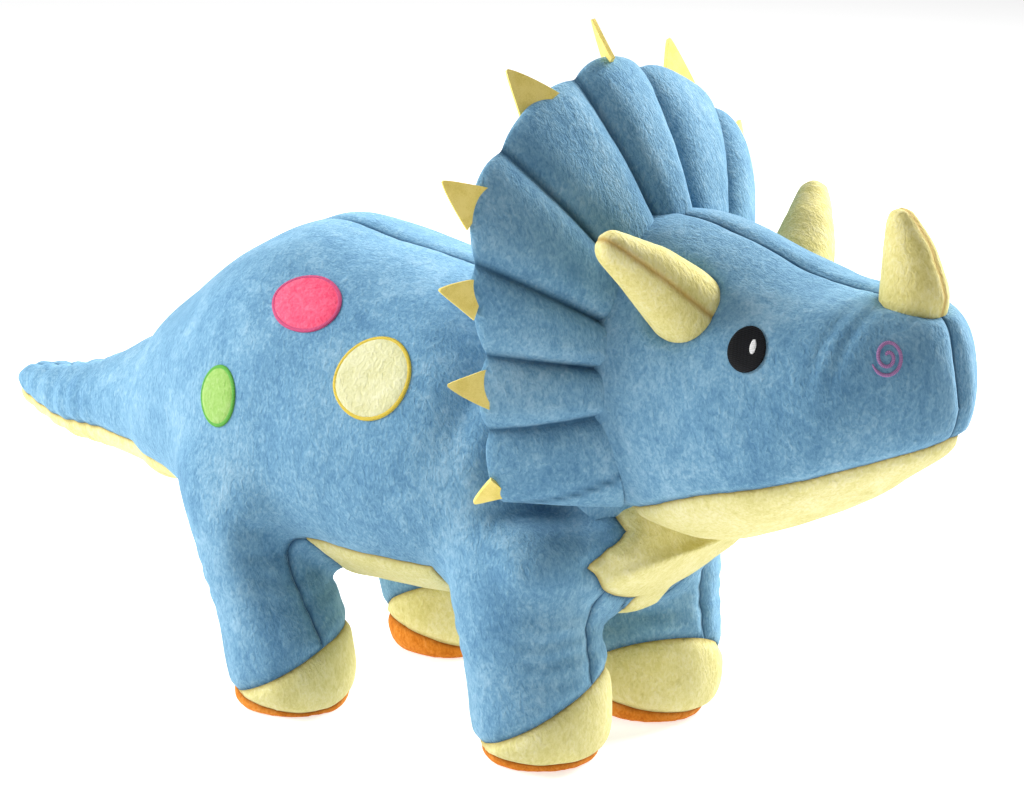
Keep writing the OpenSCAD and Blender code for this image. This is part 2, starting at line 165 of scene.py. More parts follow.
def point_normals(obj):
    n = np.empty(len(obj.data.vertices) * 3)
    obj.data.vertex_normals.foreach_get("vector", n)
    return n.reshape(-1, 3)


def edge_pairs(obj):
    e = np.empty(len(obj.data.edges) * 2, dtype=np.int32)
    obj.data.edges.foreach_get("vertices", e)
    return e.reshape(-1, 2)


def ease(values, pairs, rounds, amount=0.5):
    """Averages each point's value with its neighbours' values."""
    n = len(values)
    a, b = pairs[:, 0], pairs[:, 1]
    count = np.maximum(np.bincount(a, minlength=n) + np.bincount(b, minlength=n), 1)
    out = values.copy()
    for _ in range(rounds):
        for c in range(values.shape[1]):
            near = np.bincount(a, out[b, c], n) + np.bincount(b, out[a, c], n)
            out[:, c] += amount * (near / count - out[:, c])
    return out


def relax(obj, rounds, share=None):
    """Smooths facets away, then puts back the fullness that smoothing took.

    share, from 0 to 1, says how much of the change each point takes.
    """
    pairs, p0 = edge_pairs(obj), points(obj)
    p1 = ease(p0, pairs, rounds)
    p2 = p1 + ease(p0 - p1, pairs, rounds)
    place_points(obj, p2 if share is None else p0 + (p2 - p0) * share(p0)[:, None])


def swell(obj, amount):
    """Moves the skin out by amount millimetres, one number or one for each point."""
    place_points(obj, points(obj) + point_normals(obj) * (np.reshape(amount, (-1, 1)) * MM))


# %% [markdown]
# ## Cloth with pressure
# Blown up against its seams, a skin can crown between them. On skins as fine
# as these the step moves the cloth by only about 0.1 mm, as the printed
# numbers say. The round shape comes from smoothing and swelling instead.

# %% Blowing a skin up against its seams
CLOTH_FRAMES = 20
SEAM_GRIP = 2.2  # mm on each side of a seam that its stitches hold
PRESSURE = 4
POINT_MASS = 0.003  # kg


def inflate(obj, held, cap):
    """Cloth simulation with pressure.

    held says which points the seams hold; no point moves further than cap, in mm.
    """
    before = points(obj)
    pins = obj.vertex_groups.new(name="held_by_seams")
    pins.add([int(i) for i in np.nonzero(held(before))[0]], 1.0, "REPLACE")
    cloth = obj.modifiers.new("cloth", "CLOTH")
    cloth.settings.vertex_group_mass = pins.name
    cloth.settings.quality = 4
    cloth.settings.mass = POINT_MASS
    cloth.settings.use_pressure = True
    cloth.settings.uniform_pressure_force = PRESSURE
    cloth.settings.effector_weights.gravity = 0
    cloth.point_cache.frame_start, cloth.point_cache.frame_end = 1, CLOTH_FRAMES
    for f in range(1, CLOTH_FRAMES + 1):
        scene.frame_set(f)
    swollen = obj.evaluated_get(bpy.context.evaluated_depsgraph_get())
    after = points(swollen)
    obj.modifiers.remove(cloth)
    obj.vertex_groups.clear()
    scene.frame_set(1)
    move = after - before
    far = np.linalg.norm(move, axis=1)
    move *= (np.minimum(1, cap * MM / np.maximum(far, 1e-9)))[:, None]
    place_points(obj, before + move)
    relax(obj, 3)
    print(obj.name, "cloth moved, mm:", np.round(np.percentile(far, (10, 50, 90)) / MM, 2))


# %% One even skin from CAD solids
def gather(name, nodes, voxel, rounds, extra=(), share=None, fuller=0.0, first=7, held=None, cap=3.0):
    """Copies the nodes, joins them with the extra objects and remeshes the lot.

    first and rounds are rounds of smoothing, and share says where the second lot
    acts. held and cap go to inflate, and fuller is how far the skin swells.
    """
    copies = [new_object(name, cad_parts[n].data.copy()) for n in nodes] + list(extra)
    only(*copies)
    bpy.ops.object.join()
    skin = bpy.context.object
    skin.name = name
    clean(skin, merge=0.01)
    apply_modifier(skin, "REMESH", mode="VOXEL", voxel_size=voxel * MM)
    skin.data.materials.clear()
    relax(skin, first)
    relax(skin, rounds, share)
    if held:
        inflate(skin, held, cap)
    swell(skin, fuller(points(skin)) if callable(fuller) else fuller)
    apply_modifier(skin, "SUBSURF", levels=1, render_levels=1)
    print(name, "skin:", len(skin.data.polygons), "faces")
    return skin


# %% Cutting a seam line into a skin
SLIDE_SHARE = 0.22  # a point this near the line, as a share of its edge, slides onto it


def cut_where(obj, field, within=None):
    """Adds edges on the line where field, in metres, changes sign. field takes all points at once."""
    co = points(obj)
    val = field(co)
    ok = np.ones(len(co), bool) if within is None else within(co)
    pairs = edge_pairs(obj)
    a, b = pairs[:, 0], pairs[:, 1]
    cross = np.nonzero((val[a] * val[b] < 0) & ok[a] & ok[b])[0]
    if not len(cross):
        return
    t = val[a[cross]] / (val[a[cross]] - val[b[cross]])
    # points that are almost on the line slide onto it, so no sliver is left
    for k in np.argsort(np.minimum(t, 1 - t)):
        if min(t[k], 1 - t[k]) > SLIDE_SHARE:
            break
        near, far, s = a[cross[k]], b[cross[k]], t[k]
        if s >= 0.5:
            near, far, s = far, near, 1 - s
        if val[near] != 0 and val[far] != 0:
            co[near] += (co[far] - co[near]) * s
            val[near] = 0
    place_points(obj, co)
    bm = bmesh.new()
    bm.from_mesh(obj.data)
    bm.verts.ensure_lookup_table()
    bm.edges.ensure_lookup_table()
    zero = set()
    todo = [(bm.edges[i], bm.verts[a[i]], val[a[i]], val[b[i]]) for i in cross if val[a[i]] * val[b[i]] < 0]
    for i in cross:
        for v in (a[i], b[i]):
            if val[v] == 0:
                zero.add(bm.verts[v])
    for edge, va, fa, fb in todo:
        _, vert = bmesh.utils.edge_split(edge, va, fa / (fa - fb))
        zero.add(vert)
    for face in {f for v in zero for f in v.link_faces}:
        hits = [v for v in face.verts if v in zero]
        if len(hits) == 2 and not any(set(e.verts) == set(hits) for e in face.edges):
            bmesh.utils.face_split(face, hits[0], hits[1])
    bm.to_mesh(obj.data)
    bm.free()


def face_centres(obj):
    c = np.empty(len(obj.data.polygons) * 3)
    obj.data.polygons.foreach_get("center", c)
    return c.reshape(-1, 3)


# %% Pulling the seams in
SEAM_REACH = 16  # mm from a seam where its pull ends
SLOPE_REACH = 6  # mm over which the cloth slopes down to its seam
SLOPE_SHARE = 0.45  # how deep that slope is, as a share of the seam's groove
PUCKER_SIZE, PUCKER_REACH = 7, 8  # mm
SEAM_SHADE = 1.5  # mm of cloth round a seam that gets painted shade


def seam_points(obj, ids):
    """Points where faces of different panels meet."""
    total = np.empty(len(obj.data.polygons), dtype=np.int32)
    obj.data.polygons.foreach_get("loop_total", total)
    corner = np.empty(len(obj.data.loops), dtype=np.int32)
    obj.data.loops.foreach_get("vertex_index", corner)
    panel = np.repeat(ids, total)
    lo = np.full(len(obj.data.vertices), 999)
    hi = np.full(len(obj.data.vertices), -1)
    np.minimum.at(lo, corner, panel)
    np.maximum.at(hi, corner, panel)
    return np.nonzero(hi > lo)[0]


def distance_to(co, targets, reach):
    """Distance of each point to the nearest target, up to reach."""
    tree = kdtree.KDTree(len(targets))
    for i, p in enumerate(targets):
        tree.insert(p, i)
    tree.balance()
    lo, hi = targets.min(0) - reach, targets.max(0) + reach
    near = np.nonzero(((co > lo) & (co < hi)).all(1))[0]
    d = np.full(len(co), reach)
    for i in near:
        d[i] = min(reach, tree.find(co[i])[2])
    return d


def wobble(co, size, seed=0.0):
    """Smooth random values about 0, one bump every size millimetres."""
    k = 1 / (size * MM)
    return np.array([noise.noise(Vector((p[0] * k + seed, p[1] * k, p[2] * k))) for p in co])


def set_value(obj, name, values):
    at = obj.data.attributes.get(name) or obj.data.attributes.new(name, "FLOAT", "POINT")
    at.data.foreach_set("value", values.astype(np.float32))


def sew(obj, targets, depth=1.7, width=3.2, pucker=0.35, extra=None):
    """Pulls the skin in along the target points and stores how near each point is to a seam."""
    co = points(obj)
    d = distance_to(co, targets, SEAM_REACH * MM)
    close = np.nonzero(d < (SEAM_REACH - 0.5) * MM)[0]
    normal = ease(point_normals(obj), edge_pairs(obj), 3)
    normal /= np.maximum(np.linalg.norm(normal, axis=1, keepdims=True), 1e-6)
    groove = depth * np.exp(-((d / (width * MM)) ** 2))
    slope = SLOPE_SHARE * depth * np.exp(-d / (SLOPE_REACH * MM))
    dip = groove + slope - SLOPE_SHARE * depth * math.exp(-SEAM_REACH / SLOPE_REACH)
    rough = np.zeros(len(co))
    rough[close] = wobble(co[close], PUCKER_SIZE) * np.exp(-((d[close] / (PUCKER_REACH * MM)) ** 2))
    move = np.maximum(dip, 0) + pucker * rough
    if extra is not None:
        move += extra(co)
    place_points(obj, co - normal * (move * MM)[:, None])
    # painted shade: this value says how near a seam each point is, and the minky darkens the colour there
    set_value(obj, "seam", np.exp(-((d / (SEAM_SHADE * MM)) ** 2)))
    print(obj.name, "seams pulled in at", len(targets), "points")


# %% Splitting a skin into its panels
def split_panels(obj, ids, names):
    """Separates a skin by panel and returns the new objects by name."""
    for k in range(len(names)):
        obj.data.materials.append(bpy.data.materials.new(f"panel_{k}"))
    obj.data.polygons.foreach_set("material_index", ids.astype(np.int32))
    only(obj)
    bpy.ops.object.mode_set(mode="EDIT")
    bpy.ops.mesh.select_all(action="SELECT")
    bpy.ops.mesh.separate(type="MATERIAL")
    bpy.ops.object.mode_set(mode="OBJECT")
    out = {}
    for piece in bpy.context.selected_objects:
        k = int(piece.material_slots[piece.data.polygons[0].material_index].material.name[6:])
        piece.data.materials.clear()
        piece.data.polygons.foreach_set("material_index", [0] * len(piece.data.polygons))
        piece.name = names[k]
        out[names[k]] = piece
    for k in range(len(names)):
        bpy.data.materials.remove(bpy.data.materials[f"panel_{k}"])
    return out


# %% [markdown]
# ## Materials
# Minky is a knitted cloth with a dense pile about 1.5 mm long. Each tuft
# stands a little differently, so the colour breaks into light and dark
# strokes where the nap was brushed. Light that grazes the pile makes a pale
# edge, which the shader's sheen gives. The colour also carries painted
# shade: darker in the groove of each seam and between the tufts.

# %% Colour and node helpers
def colour(code):
    """sRGB hex code to linear RGBA."""
    c = [int(code[i : i + 2], 16) / 255 for i in (1, 3, 5)]
    return [v / 12.92 if v <= 0.04045 else ((v + 0.055) / 1.055) ** 2.4 for v in c] + [1.0]


def add(tree, kind, settings=None, **links):
    """Adds a node, sets its properties or inputs, and links inputs to other nodes' sockets."""
    node = tree.nodes.new(kind)
    for key, value in (settings or {}).items():
        if isinstance(key, str) and hasattr(node, key):
            setattr(node, key, value)
        else:
            node.inputs[key].default_value = value
    for key, socket in links.items():
        number = key[1:] if key[0] == "i" else ""
        tree.links.new(socket, node.inputs[int(number) if number.isdigit() else key.replace("_", " ")])
    return node


def new_material(name):
    m = bpy.data.materials.new(name)
    m.use_nodes = True
    return m, m.node_tree, m.node_tree.nodes["Principled BSDF"]


def ramp(tree, source, stops):
    r = add(tree, "ShaderNodeValToRGB", i0=source)
    el = r.color_ramp.elements
    while len(el) < len(stops):
        el.new(0.5)
    for e, (at, code) in zip(el, stops):
        e.position = at
        e.color = colour(code)
    return r


# %% Minky plush
# patches, strokes and tufts to a metre: 24 mm, 4 mm and 1.1 mm each, a little coarser than real
NAP_SCALE, STROKE_SCALE, TUFT_SCALE = 42.0, 260.0, 900.0


def noise_at(tree, where, scale, detail, roughness, distortion=0.0):
    settings = {"Scale": scale, "Detail": detail, "Roughness": roughness, "Distortion": distortion}
    return add(tree, "ShaderNodeTexNoise", settings, Vector=where)


def minky(name, dark, mid, light, painted_seam_shade, sheen):
    """Short-pile plush: brushed patches, strokes along the nap, and tufts, with painted shade in seams and
    between tufts.
    """
    m, t, shader = new_material(name)
    where = add(t, "ShaderNodeTexCoord")
    nap_way = {"Scale": (1.0, 0.75, 0.5), "Rotation": (0.5, 0.2, 0)}
    lean = add(t, "ShaderNodeMapping", nap_way, Vector=where.outputs["Object"]).outputs[0]
    nap = noise_at(t, lean, NAP_SCALE, 4.0, 0.62, 0.8)
    stroke = noise_at(t, lean, STROKE_SCALE, 3.0, 0.6, 1.0)
    tuft = noise_at(t, lean, TUFT_SCALE, 2.0, 0.6, 0.6)
    times = "MULTIPLY_ADD"
    a = add(t, "ShaderNodeMath", {"operation": times, 1: 0.6, 2: -0.25}, i0=nap.outputs["Fac"])
    b = add(t, "ShaderNodeMath", {"operation": times, 1: 0.5}, i0=stroke.outputs["Fac"], i2=a.outputs[0])
    # painted shade between tufts: the tuft noise that raises the pile also lightens the colour, so the colour
    # is darker where the pile dips; the patches and strokes are the nap's own tone
    c = add(t, "ShaderNodeMath", {"operation": times, 1: 0.6}, i0=tuft.outputs["Fac"], i2=b.outputs[0])
    shade = ramp(t, c.outputs[0], [(0.40, dark), (0.60, mid), (0.86, light)])
    # painted shade: near a seam the colour is mixed towards a darker colour, standing in for the shade in the
    # seam's groove
    seam = add(t, "ShaderNodeAttribute", {"attribute_name": "seam"})
    deep = add(t, "ShaderNodeMath", {"operation": "MULTIPLY", 1: 0.85}, i0=seam.outputs["Fac"])
    darker = {"data_type": "RGBA", 7: colour(painted_seam_shade)}
    mix = add(t, "ShaderNodeMix", darker, i0=deep.outputs[0], i6=shade.outputs[0])
    t.links.new(mix.outputs[2], shader.inputs["Base Color"])
    pile = {"operation": times, 1: 1.2}
    height = add(t, "ShaderNodeMath", pile, i0=stroke.outputs["Fac"], i2=tuft.outputs["Fac"])
    bump = add(t, "ShaderNodeBump", {"Strength": 0.75, "Distance": 0.7 * MM}, Height=height.outputs[0])
    t.links.new(bump.outputs[0], shader.inputs["Normal"])
    shader.inputs["Roughness"].default_value = 0.92
    shader.inputs["Specular IOR Level"].default_value = 0.15
    shader.inputs["Sheen Weight"].default_value = sheen
    shader.inputs["Sheen Roughness"].default_value = 0.45
    shader.inputs["Sheen Tint"].default_value = colour(light)
    return m


# dark, middle and light nap, the painted shade in a seam, and the sheen
blue_minky = minky("blue_minky_plush", "#527fa1", "#6a97b4", "#92b6cb", "#274f6d", 0.8)
yellow_minky = minky("pale_yellow_minky_plush", "#cdc47c", "#dbd393", "#e8e1b3", "#a8924a", 0.3)
horn_minky = minky("deep_yellow_minky_plush", "#cfc374", "#e0d58e", "#ece4b0", "#b08c44", 0.3)
orange_minky = minky("orange_minky_plush", "#c26a16", "#d9842a", "#e6a052", "#8a4a12", 0.2)
pink_minky = minky("pink_minky_applique", "#e84a6c", "#f26280", "#f88098", "#b82c58", 0.2)
cream_minky = minky("cream_minky_applique", "#cbc894", "#d5d3a4", "#dfddb8", "#b9b045", 0.2)
green_minky = minky("green_minky_applique", "#82ad52", "#93b964", "#a5c57c", "#5f9c35", 0.2)
print("minky colours:", [m.name for m in bpy.data.materials])


# %% Felt and satin thread
FELT_SCALE = 1200.0  # to a metre: fibres 0.8 mm thick, where the real ones are 0.3 mm


def felt(name, dark, light):
    """Pressed felt: matted fibres, no pile and no sheen."""
    m, t, shader = new_material(name)
    where = add(t, "ShaderNodeTexCoord")
    mat = noise_at(t, where.outputs["Object"], FELT_SCALE, 3.0, 0.7, 1.5)
    cloud = add(t, "ShaderNodeTexNoise", {"Scale": 120.0, "Detail": 2.0}, Vector=where.outputs["Object"])
    mixed = {"operation": "MULTIPLY_ADD", 1: 0.8}
    total = add(t, "ShaderNodeMath", mixed, i0=cloud.outputs["Fac"], i2=mat.outputs["Fac"])
    shade = ramp(t, total.outputs[0], [(0.6, dark), (1.0, light)])
    t.links.new(shade.outputs[0], shader.inputs["Base Color"])
    bump = add(t, "ShaderNodeBump", {"Strength": 0.5, "Distance": 0.3 * MM}, Height=mat.outputs["Fac"])
    t.links.new(bump.outputs[0], shader.inputs["Normal"])
    shader.inputs["Roughness"].default_value = 0.95
    shader.inputs["Specular IOR Level"].default_value = 0.1
    return m


def satin(name, dark, light, pitch=0.7):
    """Rayon thread laid side by side: the ridges cross the line, pitch millimetres apart (real 0.4)."""
    m, t, shader = new_material(name)
    along = add(t, "ShaderNodeAttribute", {"attribute_name": "along"})
    turns = {"operation": "MULTIPLY", 1: 2 * math.pi / (pitch * MM)}
    turn = add(t, "ShaderNodeMath", turns, i0=along.outputs["Fac"])
    wave = add(t, "ShaderNodeMath", {"operation": "SINE"}, i0=turn.outputs[0])
    half = {"operation": "MULTIPLY_ADD", 1: 0.35, 2: 0.5}
    level = add(t, "ShaderNodeMath", half, i0=wave.outputs[0])
    # painted shade and highlight: the colour follows the same wave as the bump, darker in the gaps between
    # threads and lighter on their crowns
    shade = ramp(t, level.outputs[0], [(0.0, dark), (1.0, light)])
    t.links.new(shade.outputs[0], shader.inputs["Base Color"])
    bump = add(t, "ShaderNodeBump", {"Strength": 0.6, "Distance": 0.25 * MM}, Height=wave.outputs[0])
    t.links.new(bump.outputs[0], shader.inputs["Normal"])
    shader.inputs["Roughness"].default_value = 0.55
    shader.inputs["Specular IOR Level"].default_value = 0.12
    return m


felt_yellow = felt("pressed_yellow_felt", "#dfc761", "#f3de84")
# for each thread: the colour of the painted shade between threads, then of the painted highlight on their
# crowns
pink_satin = satin("pink_satin_stitch", "#b9466e", "#e0608c")
gold_satin = satin("golden_satin_stitch", "#cdb03a", "#ecd35c")
green_satin = satin("green_satin_stitch", "#4e9a3c", "#74bd55")
black_satin = satin("black_satin_stitch", "#050507", "#1b1d22")
white_satin = satin("white_satin_stitch", "#d9d9da", "#f7f7f8")
mauve_satin = satin("mauve_satin_stitch", "#86649a", "#c08cb4")
print("thread and felt:", [m.name for m in bpy.data.materials][-7:])

# %% [markdown]
# ## Trunk, legs and tail
# On the real toy the flank panel runs down over the outside of both legs and
# back over the tail in one piece, so one skin is made from the trunk, the
# legs and the tail, and the panels are cut from it.

# %% One skin for trunk, legs and tail
def line(table, x):
    return np.interp(x, [p[0] for p in table], [p[1] for p in table])


SIDES = {"right": -1, "left": 1}
ENDS = ("front", "rear")
# where the legs stand: mm out from the middle, and along the body with the head towards -Y
LEG_X = {"front": 45, "rear": 60}
LEG_Y = {"front": -95, "rear": 46}
trunk_nodes = ["torso_stuffing", "body_panel_left", "body_panel_right", "belly_panel"]
trunk_nodes += ["tail_stuffing", "tail_panel_left", "tail_panel_right", "tail_under_panel"]
leg_parts = ("leg_stuffing", "inner_leg_panel", "toe_cap", "sole")
for end in ENDS:
    for side in SIDES:
        trunk_nodes += [f"{end}_{part}_{side}" for part in leg_parts]
# centre and half sizes of the filling behind the frill, the two shoulder pads and the throat
FILLERS = [
    ((0, -76, 128), (79, 23, 70)),
    ((-52, -106, 100), (30, 26, 21)),
    ((52, -106, 100), (30, 26, 21)),
    ((0, -130, 108), (54, 36, 22)),
]
fillers = []
for centre, half_size in FILLERS:
    at, size = [v * MM for v in centre], [v * MM for v in half_size]
    bpy.ops.mesh.primitive_uv_sphere_add(segments=48, ring_count=24, radius=1, location=at, scale=size)
    fillers.append(bpy.context.object)
    only(fillers[-1])
    bpy.ops.object.transform_apply(location=True, rotation=True, scale=True)


def above_legs(p):
    """0 on the legs and 1 above them."""
    return np.clip((p[:, 2] / MM - 84) / 34, 0, 1)


def trunk_fullness(p):
    """How far the skin swells, in mm: more towards the feet."""
    return 0.6 + 1.9 * np.clip((80 - p[:, 2] / MM) / 40, 0, 1)


def trunk_held(p):
    """The middle seam along the back, the soles and the parts hidden inside the neck."""
    q = p / MM
    return (np.abs(q[:, 0]) < SEAM_GRIP) | (q[:, 2] < 12) | (q[:, 1] < -140)


trunk_finish = {"first": 5, "rounds": 26, "share": above_legs, "fuller": trunk_fullness}
trunk = gather("trunk_skin", trunk_nodes, voxel=4.0, extra=fillers, held=trunk_held, **trunk_finish)


# %% Ease the chest up to the throat and slim the top of the rear legs
def ramp_up(v, lo, hi):
    return np.clip((v - lo) / (hi - lo), 0, 1)


q = points(trunk) / MM
x, y, z = np.abs(q[:, 0]), q[:, 1].copy(), q[:, 2].copy()
rise = 0.75 * ramp_up(-y, 126, 172)
q[:, 2] = np.where(z < 110, 110 - (110 - z) * (1 - rise), z)
q[:, 1] = np.where(y < -150, -150 + (y + 150) * 0.65, y)
thigh = ramp_up(z, 38, 80) * ramp_up(-z, -108, -94) * ramp_up(-y, -60, -32)
thigh = thigh * ramp_up(y, -20, 5) * ramp_up(x, 20, 32)
q[:, 1] += 16 * thigh - 3 * ramp_up(-y, 45, 60) * ramp_up(-z, -62, -30)
place_points(trunk, q * MM)
print("chest raised by up to", round(float((q[:, 2] - z).max()), 1), "mm")


# %% Where the trunk's seams run
# where the flank meets the belly: y, z
FLANK_SEAM = [(-105, 90), (-64, 87), (22, 87), (90, 90), (140, 98), (180, 105), (214, 106)]
FLANK_SEAM += [(253, 104), (284, 111), (292, 114), (330, 119)]
# the chest panel: z, half width
CHEST_EDGE = [(40, 14), (80, 16), (90, 35), (101, 56), (111, 50), (119, 41), (132, 36), (160, 30)]
# leg rings: height, shift outwards, shift forwards, half width, half depth
LEG_RINGS = {
    "front": [
        (7, 1, 1, 28, 28),
        (16, 1, 1, 31, 31),
        (40, 1, 0, 32, 32),
        (67, 3, -2, 32, 34),
        (91, 5, -4, 32, 39),
        (117, 3, -8, 30, 40),
        (135, -2, -10, 25, 30),
    ],
    "rear": [
        (7, 0, 0, 27, 27),
        (16, 0, 0, 30, 30),
        (40, 0, -5, 30, 31),
        (67, 0, -18, 31, 31),
        (91, 0, -27, 32, 34),
        (119, -2, -24, 32, 48),
        (145, -9, -20, 27, 46),
    ],
}


def leg_middle(end, side, z):
    """Middle and half sizes of a leg at height z."""
    columns = zip(*[[(row[0], v) for v in row[1:]] for row in LEG_RINGS[end]])
    out, fwd, w, d = (line(column, z) for column in columns)
    return SIDES[side] * (LEG_X[end] + out), LEG_Y[end] - fwd, w, d


def leg_distance(p):
    """How far outside the nearest leg a point is, in mm."""
    q = p / MM
    best = np.full(len(p), 1e3)
    for end in ENDS:
        for side in SIDES:
            x, y, w, d = leg_middle(end, side, q[:, 2])
            far = (np.hypot((q[:, 0] - x) / w, (q[:, 1] - y) / d) - 1) * w
            outside = ((q[:, 0] - x) * SIDES[side] > 0) & (np.abs(q[:, 1] - y) < d + 4)
            best = np.minimum(best, np.where(outside, 0, far))
    return np.where(q[:, 2] > 118, 1e3, best)


def belly_field(p):
    """Below 0 on the yellow belly and chest."""
    q = p / MM
    flank = q[:, 2] - line(FLANK_SEAM, q[:, 1])
    # in front of the legs the chest is all yellow below
    ahead = ramp_up(-q[:, 1], 133, 139) * (q[:, 2] < 101)
    edge = line(CHEST_EDGE, q[:, 2])
    chest = np.abs(q[:, 0]) - (edge + (57 - edge) * ahead)
    s = 1 - ramp_up(-q[:, 1], 108, 114)
    seam = np.maximum(flank * s + chest * (1 - s), 49 - q[:, 2])
    on_chest = np.maximum(ramp_up(-q[:, 1], 110, 114) * ramp_up(q[:, 2], 80, 84), ahead)
    return np.maximum(seam, 7.5 - leg_distance(p) - 60 * on_chest) * MM


def foot_plane(end, side, base, inward, back):
    """Distance above a slanted plane through a foot. inward and back are its slopes."""
    s, x0, y0 = SIDES[side], SIDES[side] * LEG_X[end], LEG_Y[end]

    def field(p):
        q = p / MM
        return (q[:, 2] - base + inward * s * (q[:, 0] - x0) - back * (q[:, 1] - y0)) * MM

    return field


FOOT_REACH = (42, 44)  # mm sideways and lengthways from the leg's middle


def near_foot(end, side, top):
    """Tells the points round one foot that are lower than top."""
    x0, y0 = SIDES[side] * LEG_X[end], LEG_Y[end]

    def inside(p):
        q = p / MM
        near_x, near_y = np.abs(q[:, 0] - x0) < FOOT_REACH[0], np.abs(q[:, 1] - y0) < FOOT_REACH[1]
        return near_x & near_y & (q[:, 2] < top)

    return inside


feet = [(end, side) for end in ENDS for side in SIDES]
# height and the two slopes of each seam across a foot
TOE_SEAM = (25, 0.343, -0.464)
SOLE_SEAM = {"front": (6.2, 0.08, 0.10), "rear": (8.6, 0.16, 0.22)}
toe_seam = {f: foot_plane(*f, *TOE_SEAM) for f in feet}
sole_seam = {f: foot_plane(*f, *SOLE_SEAM[f[0]]) for f in feet}
INNER_SEAM_OUT = {"front": 0, "rear": 8}
inner_x = {f: LEG_X[f[0]] + INNER_SEAM_OUT[f[0]] for f in feet}
inner_seam = {f: (lambda p, f=f: (SIDES[f[1]] * p[:, 0] / MM - inner_x[f]) * MM) for f in feet}
TOE_TOP, SOLE_TOP, INNER_TOP = 62, 45, 100  # mm

# %% Cut the seam lines
cut_where(trunk, belly_field)
for f in feet:
    cut_where(trunk, toe_seam[f], near_foot(*f, TOE_TOP))
    cut_where(trunk, sole_seam[f], near_foot(*f, SOLE_TOP))
    leg = near_foot(*f, INNER_TOP)
    cut_where(trunk, inner_seam[f], lambda p, leg=leg: (leg_distance(p) < 11) & leg(p))
cut_where(trunk, lambda p: p[:, 0])
trunk_names = ["body_cover_right", "body_cover_left", "belly_cover"]
for kind in ("inner_leg_cover", "toe_cap_cover", "sole_cover"):
    trunk_names += [f"{end}_{kind}_{side}" for end, side in feet]
c = face_centres(trunk)
# the numbers of the panels follow trunk_names
trunk_ids = np.where(c[:, 0] < 0, 0, 1)
trunk_ids[belly_field(c) < 0] = 2
for k, f in enumerate(feet):
    foot = near_foot(*f, INNER_TOP)(c) & (trunk_ids != 2)
    inner = foot & (inner_seam[f](c) < 0) & (c[:, 2] < 92 * MM) & (leg_distance(c) < 12)
    trunk_ids[inner] = 3 + k
    foot &= c[:, 2] < TOE_TOP * MM
    trunk_ids[foot & (toe_seam[f](c) < 0)] = 7 + k
    trunk_ids[foot & (sole_seam[f](c) < 0)] = 11 + k
print("faces in each trunk panel:", dict(zip(trunk_names, np.bincount(trunk_ids, minlength=15))))


# %% Soft creases of the filled cloth
def trunk_creases(co):
    """Shallow folds: rings on the tail, cross folds on the legs, slow lumps of filling all over."""
    q = co / MM
    y, z = q[:, 1], q[:, 2]
    lump = wobble(co, 42, 3.0) * 1.3 + wobble(co, 19, 9.0) * 0.5
    rings = np.sin(y / 2.1 + 2.2 * wobble(co, 26, 5.0))
    tail = np.clip((y - 205) / 25, 0, 1) * rings * 0.5 * np.clip((296 - y) / 20, 0, 1)
    cross = np.sin(z / 1.75 + 3.0 * wobble(co, 30, 7.0))
    legs = np.exp(-(((z - 62) / 16) ** 2)) * cross * 0.42 * (leg_distance(co) < 8)
    return lump + tail + legs


seam_at = points(trunk)[seam_points(trunk, trunk_ids)]
sew(trunk, seam_at, extra=trunk_creases)
co = points(trunk)
co[:, 2] = np.maximum(co[:, 2], 0)
place_points(trunk, co)

# %% [markdown]
# ## Head
# The head is two cheek panels joined by a seam over the top and down the
# snout, with a yellow chin panel below. The snout seam is pulled tight, so
# it makes a shallow groove between two rounded halves.

# %% The head skin and its seams
CHIN_SEAM = [(-330, 191), (-296, 177), (-270, 167), (-245, 158), (-192, 144), (-141, 126), (-100, 115)]


def chin_field(p):
    """Below 0 on the chin panel."""
    return p[:, 2] - line(CHIN_SEAM, p[:, 1] / MM) * MM


def head_held(p):
    """The middle seam and the chin seam."""
    return (np.abs(p[:, 0]) < SEAM_GRIP * MM) | (np.abs(chin_field(p)) < SEAM_GRIP * MM)


head_nodes = ["head_stuffing", "head_panel_left", "head_panel_right", "chin_panel"]
head = gather("head_skin", head_nodes, voxel=3.6, rounds=26, fuller=0.4, held=head_held, cap=2.5)
cut_where(head, chin_field)
cut_where(head, lambda p: p[:, 0])
c = face_centres(head)
head_ids = np.where(chin_field(c) < 0, 2, np.where(c[:, 0] < 0, 0, 1))
print("head faces:", np.bincount(head_ids))

# %% [markdown]
# ## Horns
# Each horn is a small stuffed cone of two panels. It is hulled from the CAD
# horn and a ball inside the head, so its foot is buried, then remeshed,
# smoothed and creased along its own seam.

# %% Horn skins
HORN_BALL = {"brow_horn_right": 16.5, "brow_horn_left": 16.5, "nose_horn": 12}
HORN_ROOT = {
    "brow_horn_right": (-36, -183, 218),
    "brow_horn_left": (36, -183, 218),
    "nose_horn": (0, -268, 226),
}


def horn_skin(node):
    horn = new_object(node + "_skin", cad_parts[node].data.copy())
    middle = [v * MM for v in HORN_ROOT[node]]
    bpy.ops.mesh.primitive_ico_sphere_add(subdivisions=2, radius=HORN_BALL[node] * MM, location=middle)
    ball = bpy.context.object
    only(horn, ball)
    bpy.ops.object.join()
    clean(horn, merge=0.01, hull=True)
    apply_modifier(horn, "REMESH", mode="VOXEL", voxel_size=2.2 * MM)
    horn.data.materials.clear()
    relax(horn, 12)
    far = np.linalg.norm(points(horn) / MM - np.array(HORN_ROOT[node]), axis=1)
    swell(horn, np.interp(far, [15, 48], [2.2, 0.4]))
    apply_modifier(horn, "SUBSURF", levels=1, render_levels=1)
    return horn


